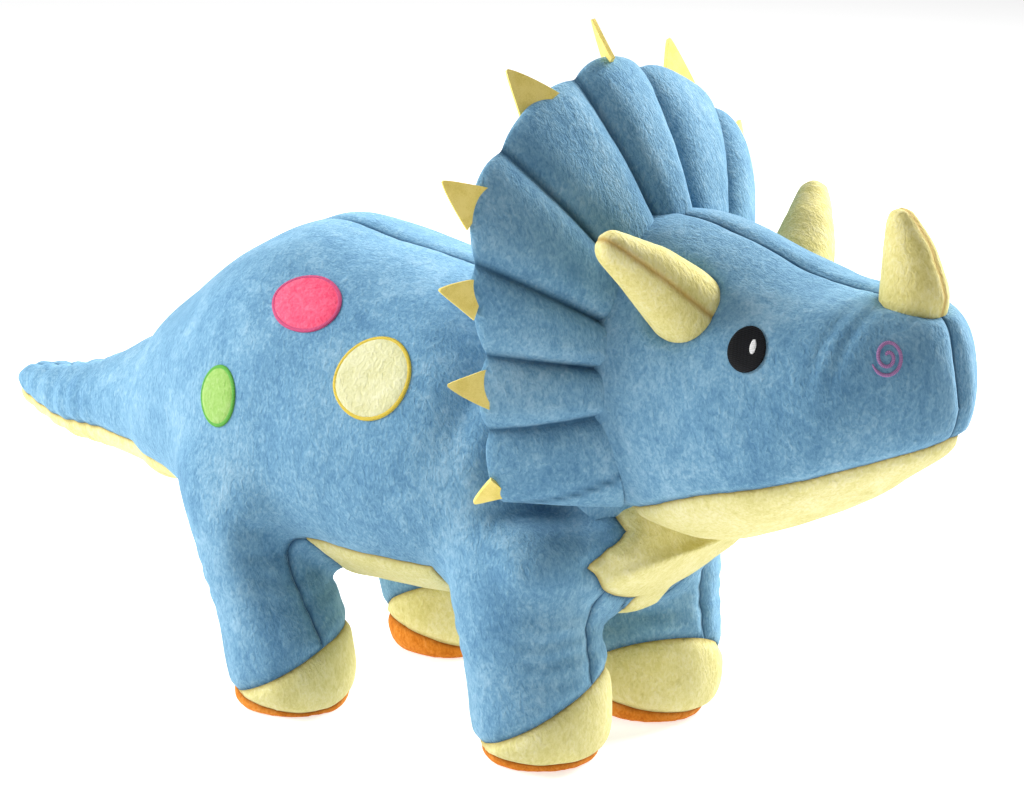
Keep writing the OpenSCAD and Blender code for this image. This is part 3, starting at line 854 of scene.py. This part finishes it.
horns = {node: horn_skin(node) for node in HORN_ROOT}
head_tree = BVHTree.FromPolygons([v.co for v in head.data.vertices], [p.vertices for p in head.data.polygons])
horn_feet = []
for node, horn in horns.items():
    root = Vector([v * MM for v in HORN_ROOT[node]])
    tip = max((v.co for v in horn.data.vertices), key=lambda v: (v - root).length).copy()
    up = (tip - root).normalized()
    # the brow horns are seamed on their front and back, the nose horn in the middle plane
    forwards = Vector((math.copysign(0.25, root.x), -1, 0.1))
    across = Vector((1, 0, 0)) if node == "nose_horn" else up.cross(forwards).normalized()
    side_of = lambda p, n=np.array(across), r=np.array(root): (p - r) @ n
    cut_where(horn, side_of)
    seam = [v.co.copy() for v in horn.data.vertices if abs(side_of(np.array(v.co)[None])[0]) < 0.02 * MM]
    foot = [v.co.copy() for v in horn.data.vertices if head_tree.find_nearest(v.co)[3] < 0.9 * MM]
    horn_feet += foot
    sew(horn, np.array(seam), depth=0.45, width=1.4, pucker=0.25)
    print(node, "length from root, mm:", round((tip - root).length / MM))


# %% Sew the head, with its snout folds
def head_creases(co):
    """A dent at the snout's tip, two folds behind the nostrils and slow lumps of filling."""
    q = co / MM
    x, y, z = q.T
    snout = np.exp(-(((y + 296) / 16) ** 2)) * np.exp(-((x / 5.5) ** 2)) * 2.6
    snout *= np.exp(-(((z - 203) / 22) ** 2))
    folds = np.zeros(len(co))
    for at, deep in ((252, 1.0), (261, 1.3)):
        fold = np.exp(-(((y + at + 0.12 * (z - 220)) / 2.6) ** 2)) * deep
        folds += fold * np.exp(-(((z - 222) / 17) ** 2))
    lump = wobble(co, 38, 13.0) * 1.2 + wobble(co, 17, 21.0) * 0.5
    return snout + folds * (np.abs(x) > 12) + lump


seam_at = points(head)[seam_points(head, head_ids)]
# the horns' feet count as seams too, so round each horn the head gets a groove and painted shade
sew(head, np.vstack([seam_at, np.array(horn_feet)]), extra=head_creases)

# %% [markdown]
# ## Frill
# The frill is one quilted fan: two layers of minky with filling between, sewn
# through along ten lines that run from the head to the rim. A flat grid is
# bent to the fan in code: across it runs the angle round the head, and up
# it runs out over the front, round the rim and back behind.

# %% The fan's shape
QUILT_LINES = [-126, -100, -78, -58.5, -36.5, -10.5, 10.5, 36.5, 58.5, 78, 100, 126]
# angle from the top, distance of the rim from the fan's centre, distance forwards
RIM = [(-40, 139, 104), (0, 144, 101), (23, 141, 102), (47, 139, 105), (62, 120, 106)]
RIM += [(78, 100, 105), (90, 97, 104), (112, 94, 101), (126, 96, 100), (160, 92, 98)]
FAN_Z = 185


def smooth_line(table, col, x):
    """A smooth curve through a column of a table."""
    X, Y = np.array([r[0] for r in table], float), np.array([r[col] for r in table], float)
    m = np.gradient(Y, X)
    i = np.clip(np.searchsorted(X, x) - 1, 0, len(X) - 2)
    h = X[i + 1] - X[i]
    t = (x - X[i]) / h
    out = Y[i] * (2 * t**3 - 3 * t**2 + 1) + m[i] * h * (t**3 - 2 * t**2 + t)
    out = out + Y[i + 1] * (3 * t**2 - 2 * t**3)
    return out + m[i + 1] * h * (t**3 - t**2)


def phase(a):
    """-1 and 1 on the two quilting lines of a section, 0 at its middle."""
    i = np.clip(np.searchsorted(QUILT_LINES, a) - 1, 0, len(QUILT_LINES) - 2)
    lo, hi = np.take(QUILT_LINES, i), np.take(QUILT_LINES, i + 1)
    return 2 * (a - lo) / (hi - lo) - 1


def fan_root(a):
    """Where the fan leaves the head, at each angle."""
    b = a + np.sign(a) * 15 * np.maximum(0, np.abs(a) - 100) / 25
    r0, s0 = np.cos(np.radians(b)), np.sin(np.radians(b))
    r = ((np.abs(r0) / np.where(r0 > 0, 77, 75)) ** 2.6 + (np.abs(s0) / 57) ** 2.6) ** (-1 / 2.6)
    return np.stack([r * s0, -137 + 3 * r0, FAN_Z + r * r0], -1)


def fan_rim(a, scallop):
    """The rim, drawn in by scallop millimetres at each quilting line."""
    r = smooth_line(RIM, 1, np.abs(a)) - scallop * np.abs(phase(a)) ** 3
    x, z = r * np.sin(np.radians(a)), FAN_Z + r * np.cos(np.radians(a))
    return np.stack([x, -smooth_line(RIM, 2, np.abs(a)), z], -1)


def fan_mid(a, v, scallop=4.5):
    """The fan's middle surface: v is 0 at the head and 1 at the rim."""
    root, rim = fan_root(a), fan_rim(a, scallop)
    mid = root + (rim - root) * v[..., None]
    mid[..., 1] -= 9 * v * (1 - v)
    return mid


# %% Bend a grid to the fan
SECTIONS = len(QUILT_LINES) - 1
SECTION_COLS = 18
COLS, ROWS = SECTIONS * SECTION_COLS + 1, 81
bpy.ops.mesh.primitive_grid_add(x_subdivisions=COLS - 1, y_subdivisions=ROWS - 1, size=1)
fan = bpy.context.object
fan.name = "frill_skin"
g = points(fan)
u, s = (g[:, 0] + 0.5) * (COLS - 1), (g[:, 1] + 0.5)
a = np.interp(u, np.arange(SECTIONS + 1) * SECTION_COLS, QUILT_LINES)
front = np.where(s < 0.5, 1.0, -1.0)
w = 1 - np.abs(2 * s - 1)
v = np.sin(np.clip(w, 0, 1) * math.pi / 2) * 1.1 - 0.1
k = np.abs(phase(a))
outer = np.abs(a) > 125.9
k = np.where(np.isclose(np.abs(phase(a)), 1, atol=1e-6) | outer, 1.0, k)
middle = np.exp(-((a / 9) ** 4))
puffed = (0.9 + (9.2 + 1.5 * middle) * np.maximum(0, 1 - k**3) ** 0.56) * (1 - 0.12 * np.clip(v, 0, 1))
half = puffed * np.sqrt(np.maximum(0, 1 - np.clip(v, 0, 1) ** 5)) * np.clip(w / 0.02, 0, 1)
half = np.where(outer, 0, half)
mid = fan_mid(a, v)
mid[:, 1] -= front * half
place_points(fan, mid * MM)
clean(fan, merge=0.02, outward=True)
co = points(fan)
r = np.hypot(co[:, 0], co[:, 2] - FAN_Z * MM)
ang = np.degrees(np.arctan2(co[:, 0], co[:, 2] - FAN_Z * MM))
gap = np.min(np.abs(ang[:, None] - np.array(QUILT_LINES)[None, :]), axis=1)
d = r * np.sin(np.radians(np.minimum(gap, 90)))
normal = point_normals(fan)
pull = wobble(co, 6, 31.0) * np.exp(-((d / (9 * MM)) ** 2)) * 0.4 + wobble(co, 24, 33.0) * 0.6
place_points(fan, co - normal * (pull * MM)[:, None])
# painted shade along the quilting lines: the minky darkens the cloth where this value is high
set_value(fan, "seam", np.exp(-((d / (1.4 * MM)) ** 2)))
apply_modifier(fan, "SUBSURF", levels=1, render_levels=1)
print("frill faces:", len(fan.data.polygons))

# %% [markdown]
# ## Felt teeth
# Eleven flat felt teeth are caught in the rim seam. One is shaped from a
# grid, thickened and rounded; the others are copies that lean a little
# differently, as cut felt does.

# %% One tooth
TOOTH_ROOT = 4  # mm of each tooth that is caught in the seam
TOOTH_HEIGHTS = [19, 19, 18, 16, 15, 12]  # from the top tooth down
TOOTH_TWIST = [12, 4, -10, -18, -20, 48, -8, 6, -5, 9, -6]
LAST_TOOTH_DROOP = 32  # the two lowest teeth hang down beside the shoulder
TOOTH_ANGLES = [-119, -87, -65, -49, -23, 0, 23, 49, 65, 87, 119]


def tooth(i):
    bpy.ops.mesh.primitive_grid_add(x_subdivisions=8, y_subdivisions=12, size=1)
    obj = bpy.context.object
    g = points(obj)
    t = g[:, 1] + 0.5
    tall = TOOTH_HEIGHTS[abs(i - 5)]
    wide = (tall + 3) * np.where(t < 1, (1 - t) ** 0.85, 0) + 1.0
    curl = (1 if i % 2 else -1) * (0.8 + 0.5 * (i % 3))
    across = g[:, 0] * wide + curl * t**2
    up = -TOOTH_ROOT + (tall + TOOTH_ROOT) * t
    place_points(obj, np.stack([across, 1.4 * np.sin(i * 2.1) * t**2, up], -1) * MM)
    apply_modifier(obj, "SOLIDIFY", thickness=2.0 * MM, offset=0)
    apply_modifier(obj, "BEVEL", width=0.7 * MM, segments=2, limit_method="ANGLE")
    apply_modifier(obj, "SUBSURF", levels=1, render_levels=1)
    a = np.array([float(TOOTH_ANGLES[i])])
    rim = fan_mid(a, np.array([1.0]), 0.0)[0]
    lean = rim - fan_mid(a, np.array([0.6]), 0.0)[0]
    back = math.atan2(lean[1], math.hypot(lean[0], lean[2]))
    droop = LAST_TOOTH_DROOP * (1 if a[0] > 0 else -1) if i in (0, 10) else 0
    turn = Matrix.Rotation(math.radians(a[0] + droop), 4, "Y") @ Matrix.Rotation(-back, 4, "X")
    turn = turn @ Matrix.Rotation(math.radians(TOOTH_TWIST[i]), 4, "Z")
    obj.data.transform(Matrix.Translation(Vector(rim) * MM) @ turn)
    obj.name = f"felt_tooth_{i + 1}"
    obj.data.materials.append(felt_yellow)
    shade_smooth(obj)
    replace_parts(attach(obj, "head"), f"frill_spike_{i + 1}")
    return obj


teeth = [tooth(i) for i in range(11)]
print("felt teeth:", len(teeth))

# %% [markdown]
# ## Neck
# Between the trunk and the head a sleeve of cloth fills the gap, with a yellow throat below.

# %% Neck sleeve
bpy.ops.mesh.primitive_grid_add(x_subdivisions=96, y_subdivisions=24, size=1)
neck = bpy.context.object
neck.name = "neck_skin"
g = points(neck)
th, s = (g[:, 0] + 0.5) * 2 * math.pi, g[:, 1] + 0.5
wide = np.sign(np.sin(th)) * np.abs(np.sin(th)) ** 0.8
back_ring = [wide * 58, -104 + 36 * np.cos(th), 152 + 44 * np.cos(th)]
head_ring = [wide * 46, -140 + 19 * np.cos(th), 188 + 56 * np.cos(th)]
waist = 1 - 0.03 * np.sin(math.pi * s)
sleeve = np.stack([(b * (1 - s) + h * s) for b, h in zip(back_ring, head_ring)], -1)
place_points(neck, sleeve * np.stack([waist, np.ones_like(s), np.ones_like(s)], -1) * MM)
clean(neck, merge=0.02, outward=True)
apply_modifier(neck, "SUBSURF", levels=1, render_levels=1)


def throat_field(p):
    """Below 0 on the yellow throat."""
    q = p / MM
    return np.maximum(np.maximum(np.abs(q[:, 0]) - 38, q[:, 1] + 112), q[:, 2] - 118) * MM


cut_where(neck, throat_field)
c = face_centres(neck)
neck_ids = np.where(throat_field(c) < 0, 1, 0)
sew(neck, points(neck)[seam_points(neck, neck_ids)], depth=1.0)
print("neck faces:", len(neck.data.polygons))


# %% [markdown]
# ## Applique spots, eyes and nostrils
# Small shapes are lifted off the finished skins: the skin under the shape is
# copied, cut to its outline and raised by the cloth's thickness. Round each
# spot runs a satin-stitched border, and the nostril is a spiral of the same
# stitch.

# %% Lift a shape off a skin
def lift(skin, name, centre, face_along, reach, field, height, thick=0.9, dome=0.0):
    """Copies the part of a skin where field is below 0 and raises it by height millimetres."""
    me = skin.data
    co, pc = points(skin), face_centres(skin)
    pn = np.empty(len(me.polygons) * 3)
    me.polygons.foreach_get("normal", pn)
    close = np.linalg.norm(pc - np.array(centre) * MM, axis=1) < reach * MM
    keep = np.nonzero(close & (pn.reshape(-1, 3) @ np.array(face_along) > 0))[0]
    faces = [tuple(me.polygons[i].vertices) for i in keep]
    used = sorted({v for f in faces for v in f})
    index = {v: i for i, v in enumerate(used)}
    mesh = bpy.data.meshes.new(name)
    mesh.from_pydata([tuple(co[v]) for v in used], [], [[index[v] for v in f] for f in faces])
    obj = new_object(name, mesh)
    apply_modifier(obj, "SUBSURF", levels=1, render_levels=1)
    cut_where(obj, field)
    bm = bmesh.new()
    bm.from_mesh(obj.data)
    out = [f for f, v in zip(bm.faces, field(np.array([f.calc_center_median() for f in bm.faces]))) if v > 0]
    bmesh.ops.delete(bm, geom=out, context="FACES")
    bm.to_mesh(obj.data)
    bm.free()
    p, n = points(obj), point_normals(obj)
    edge = np.clip(-field(p) / (3 * MM), 0, 1)
    place_points(obj, p + n * ((height + dome * np.sqrt(edge)) * MM)[:, None])
    apply_modifier(obj, "SOLIDIFY", thickness=thick * MM, offset=-1)
    shade_smooth(obj)
    return obj


STITCH_SIDES = 10


def thread(skin, name, path, along, radius, squash=0.7):
    """A raised line of satin stitch. path is rough points in mm, dropped onto the skin against along."""
    tree = BVHTree.FromPolygons([v.co for v in skin.data.vertices], [p.vertices for p in skin.data.polygons])
    run = 0.0
    closed = (Vector(path[0]) - Vector(path[-1])).length < 0.01
    hits = []
    for p in path[:-1] if closed else path:
        start = Vector(p) * MM + Vector(along) * 0.08
        spot, nrm, _, _ = tree.ray_cast(start, -Vector(along))
        hits.append((spot, nrm))
    n = len(hits)
    verts, faces, dist = [], [], []
    for i, (spot, nrm) in enumerate(hits):
        before = hits[(i - 1) % n if closed else max(i - 1, 0)][0]
        after = hits[(i + 1) % n if closed else min(i + 1, n - 1)][0]
        ahead = (after - before).normalized()
        sidew = ahead.cross(nrm).normalized()
        if i:
            run += (spot - hits[i - 1][0]).length
        taper = 1 if closed else min(1, 0.35 + 0.65 * min(i, n - 1 - i) / 3)
        for j in range(STITCH_SIDES):
            t = 2 * math.pi * j / STITCH_SIDES
            aside = sidew * math.cos(t) * radius * taper * MM
            above = nrm * (math.sin(t) * radius * squash * taper + 0.15 * radius) * MM
            verts.append(spot + aside + above)
            dist.append(run)
    for i in range(n if closed else n - 1):
        for j in range(STITCH_SIDES):
            here, there, q = i * STITCH_SIDES, (i + 1) % n * STITCH_SIDES, (j + 1) % STITCH_SIDES
            faces.append((here + j, here + q, there + q, there + j))
    if not closed:
        last = (n - 1) * STITCH_SIDES
        faces += [tuple(range(STITCH_SIDES - 1, -1, -1)), tuple(range(last, last + STITCH_SIDES))]
    mesh = bpy.data.meshes.new(name)
    mesh.from_pydata(verts, [], faces)
    obj = new_object(name, mesh)
    clean(obj, outward=True)
    set_value(obj, "along", np.array(dist))
    shade_smooth(obj)
    return obj


# %% The six spots
# along the body, height, half length, half height, tilt in degrees, cloth, thread
SPOTS = {
    "pink": (31, 205, 19, 10.5, 8, pink_minky, pink_satin),
    "cream": (-21, 178, 20, 17.5, 0, cream_minky, gold_satin),
    "green": (72, 157, 12, 14, 8, green_minky, green_satin),
}
spots = []
for kind, (y, z, ry, rz, tilt, cloth, stitch) in SPOTS.items():
    tc, ts = math.cos(math.radians(tilt)), math.sin(math.radians(tilt))
    for side, sgn in SIDES.items():

        def outline(p, y=y, z=z, ry=ry, rz=rz):
            dy, dz = p[:, 1] / MM - y, p[:, 2] / MM - z
            a, b = dy * tc + dz * ts, -dy * ts + dz * tc
            return (np.hypot(a / ry, b / rz) - 1) * min(ry, rz) * MM

        out = (sgn, 0, 0)
        name, middle = f"{kind}_spot_cloth_{side}", (sgn * 78, y, z)
        patch = lift(trunk, name, middle, out, reach=34, field=outline, height=0.5, dome=0.7)
        patch.data.materials.append(cloth)
        ring = []
        for i in range(121):
            t = 2 * math.pi * i / 120
            wide, tall = ry * math.cos(t), rz * math.sin(t)
            ring.append((sgn * 60, y + wide * tc - tall * ts, z + wide * ts + tall * tc))
        border = thread(trunk, f"{kind}_spot_border_{side}", ring, out, radius=1.15)
        border.data.materials.append(stitch)
        for o in (patch, border):
            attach(o, "torso")
        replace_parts(patch, f"{kind}_spot_{side}")
        spots += [patch, border]
print("spot pieces:", len(spots))


# %% Eyes
EYE_RADIUS = 9.3


def yawed(sgn, x, forward, z, yaw):
    """Centre, outward direction and sideways direction of a mark on the cheek."""
    t = math.radians(yaw)
    centre, out = Vector((sgn * x, -forward, z)), Vector((sgn * math.cos(t), -math.sin(t), 0))
    return centre, out, Vector((sgn * math.sin(t), math.cos(t), 0))


for side, sgn in SIDES.items():
    mark, out, wide = yawed(sgn, x=57, forward=219.5, z=216.5, yaw=12)

    def disc(p, mark=mark, wide=wide):
        q = p / MM - np.array(mark)
        return (np.hypot(q @ np.array(wide), q[:, 2]) - EYE_RADIUS) * MM

    eye = lift(head, f"embroidered_eye_{side}", mark, out, reach=18, field=disc, height=0.7, dome=0.8)
    q = points(eye) / MM
    set_value(eye, "along", q[:, 2] * 0.8 * MM + q[:, 1] * 0.3 * MM)
    eye.data.materials.append(black_satin)
    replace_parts(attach(eye, "head"), f"eye_{side}")
    spot = mark + Vector((0, -3.4, 1.2))

    def glint(p, spot=spot, wide=wide):
        q = p / MM - np.array(spot)
        return (np.hypot((q @ np.array(wide)) / 1.5, q[:, 2] / 2.9) - 1) * 1.5 * MM

    shine = lift(head, f"eye_glint_{side}", spot, out, reach=9, field=glint, height=1.9, dome=0.3)
    q = points(shine) / MM
    set_value(shine, "along", q[:, 2] * MM)
    shine.data.materials.append(white_satin)
    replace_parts(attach(shine, "head"), f"eye_highlight_{side}")
print("eyes are", round(2 * EYE_RADIUS, 1), "mm across")

# %% Nostrils
for side, sgn in SIDES.items():
    mark, out, wide = yawed(sgn, x=35, forward=279, z=218, yaw=38)
    path = []
    for i in range(61):
        t = math.radians(40 + i * 11)
        r = 0.9 + 6.2 * (i / 60) ** 0.9
        path.append(mark + wide * (r * math.cos(t)) + Vector((0, 0, r * 1.15 * math.sin(t))))
    nostril = thread(head, f"nostril_spiral_{side}", path, out, radius=0.8)
    nostril.data.materials.append(mauve_satin)
    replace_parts(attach(nostril, "head"), f"nostril_{side}")
print("nostril stitch points:", len(path))

# %% [markdown]
# ## Panels become pieces
# The skins are separated along their seams and given the cloth's thickness
# and their finish. The flanks and the belly run over the tail root and the
# neck sleeve over the neck; these stay where they are, and the rest are tied
# to the CAD bodies.

# %% Finish one cover
CLOTH_THICKNESS = 1.4


def cover(obj, cloth, nodes, body=None, bend=None):
    apply_modifier(obj, "SOLIDIFY", thickness=CLOTH_THICKNESS * MM, offset=-1)
    obj.data.materials.append(cloth)
    shade_smooth(obj)
    if bend:
        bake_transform(obj)
    else:
        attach(obj, body)
    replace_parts(obj, *nodes) if nodes else obj


TAIL_BEND = (("torso", "tail"), (0, 150, 122), (0, 206, 118))
NECK_BEND = (("torso", "head"), (0, -98, 128), (0, -140, 163))
pieces = split_panels(trunk, trunk_ids, trunk_names)
flank = ["body_panel_right", "tail_panel_right", "torso_stuffing", "tail_stuffing"]
cover(pieces["body_cover_right"], blue_minky, flank, bend=TAIL_BEND)
flank = ["body_panel_left", "tail_panel_left"]
cover(pieces["body_cover_left"], blue_minky, flank, bend=TAIL_BEND)
under = ["belly_panel", "tail_under_panel"]
cover(pieces["belly_cover"], yellow_minky, under, bend=TAIL_BEND)
for end, side in feet:
    inner = [f"{end}_inner_leg_panel_{side}", f"{end}_leg_stuffing_{side}"]
    toe, sole = f"{end}_toe_cap_{side}", f"{end}_sole_{side}"
    cover(pieces[f"{end}_inner_leg_cover_{side}"], blue_minky, inner, "torso")
    cover(pieces[f"{end}_toe_cap_cover_{side}"], yellow_minky, [toe], "torso")
    cover(pieces[f"{end}_sole_cover_{side}"], orange_minky, [sole], "torso")
pieces = split_panels(head, head_ids, ["head_cover_right", "head_cover_left", "chin_cover"])
cover(pieces["head_cover_right"], blue_minky, ["head_panel_right", "head_stuffing"], "head")
cover(pieces["head_cover_left"], blue_minky, ["head_panel_left"], "head")
cover(pieces["chin_cover"], yellow_minky, ["chin_panel"], "head")
pieces = split_panels(neck, neck_ids, ["neck_cover", "throat_cover"])
cover(pieces["neck_cover"], blue_minky, [], bend=NECK_BEND)
cover(pieces["throat_cover"], yellow_minky, [], bend=NECK_BEND)
for node, horn in horns.items():
    horn.name = node + "_cover"
    horn.data.materials.append(horn_minky)
    shade_smooth(horn)
    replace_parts(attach(horn, "head"), node)
fan.name = "frill_cover"
fan.data.materials.append(blue_minky)
shade_smooth(fan)
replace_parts(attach(fan, "head"), "frill_front_panel", "frill_back_panel", "frill_batting")

# %% [markdown]
# ## The sweep
# The floor is a lit white sheet, so it glows a little and the soft shadow
# under the feet stays pale.

# %% Lit floor
FLOOR_GREY, FLOOR_GLOW = 0.6, 0.66
bpy.ops.mesh.primitive_plane_add(size=30, location=(0, 0, -0.2 * MM))
floor = bpy.context.object
floor.name = "pale_floor"
m, t, shader = new_material("lit_white_acrylic_sweep")
shader.inputs["Base Color"].default_value = (FLOOR_GREY, FLOOR_GREY, FLOOR_GREY, 1)
shader.inputs["Emission Color"].default_value = (1, 1, 1, 1)
shader.inputs["Emission Strength"].default_value = FLOOR_GLOW
shader.inputs["Roughness"].default_value = 0.9
floor.data.materials.append(m)

# %% [markdown]
# ## Negative fill
# A black card beside the camera darkens the near side of a pale subject: it
# takes light away instead of adding it. Here it shades the face and the
# front of the frill. It casts shadow but isn't seen.

# %% Black card
CARD_SIZE = (3.4, 2.4)
card_place, card_aim = Vector((-0.35, -2.3, 0.9)), Vector((0, 0, 0.3))
bpy.ops.mesh.primitive_plane_add(size=1)
card = bpy.context.object
card.name = "black_card"
turn = (card_aim - card_place).to_track_quat("Z", "Y").to_matrix().to_4x4()
card.data.transform(Matrix.Translation(card_place) @ turn @ Matrix.Diagonal((*CARD_SIZE, 1, 1)))
m, t, shader = new_material("matt_black_card")
shader.inputs["Base Color"].default_value = (0.01, 0.01, 0.01, 1)
shader.inputs["Roughness"].default_value = 1.0
card.data.materials.append(m)
card.visible_camera = False
print("black card stands", round(card_place.length, 2), "m from the toy")
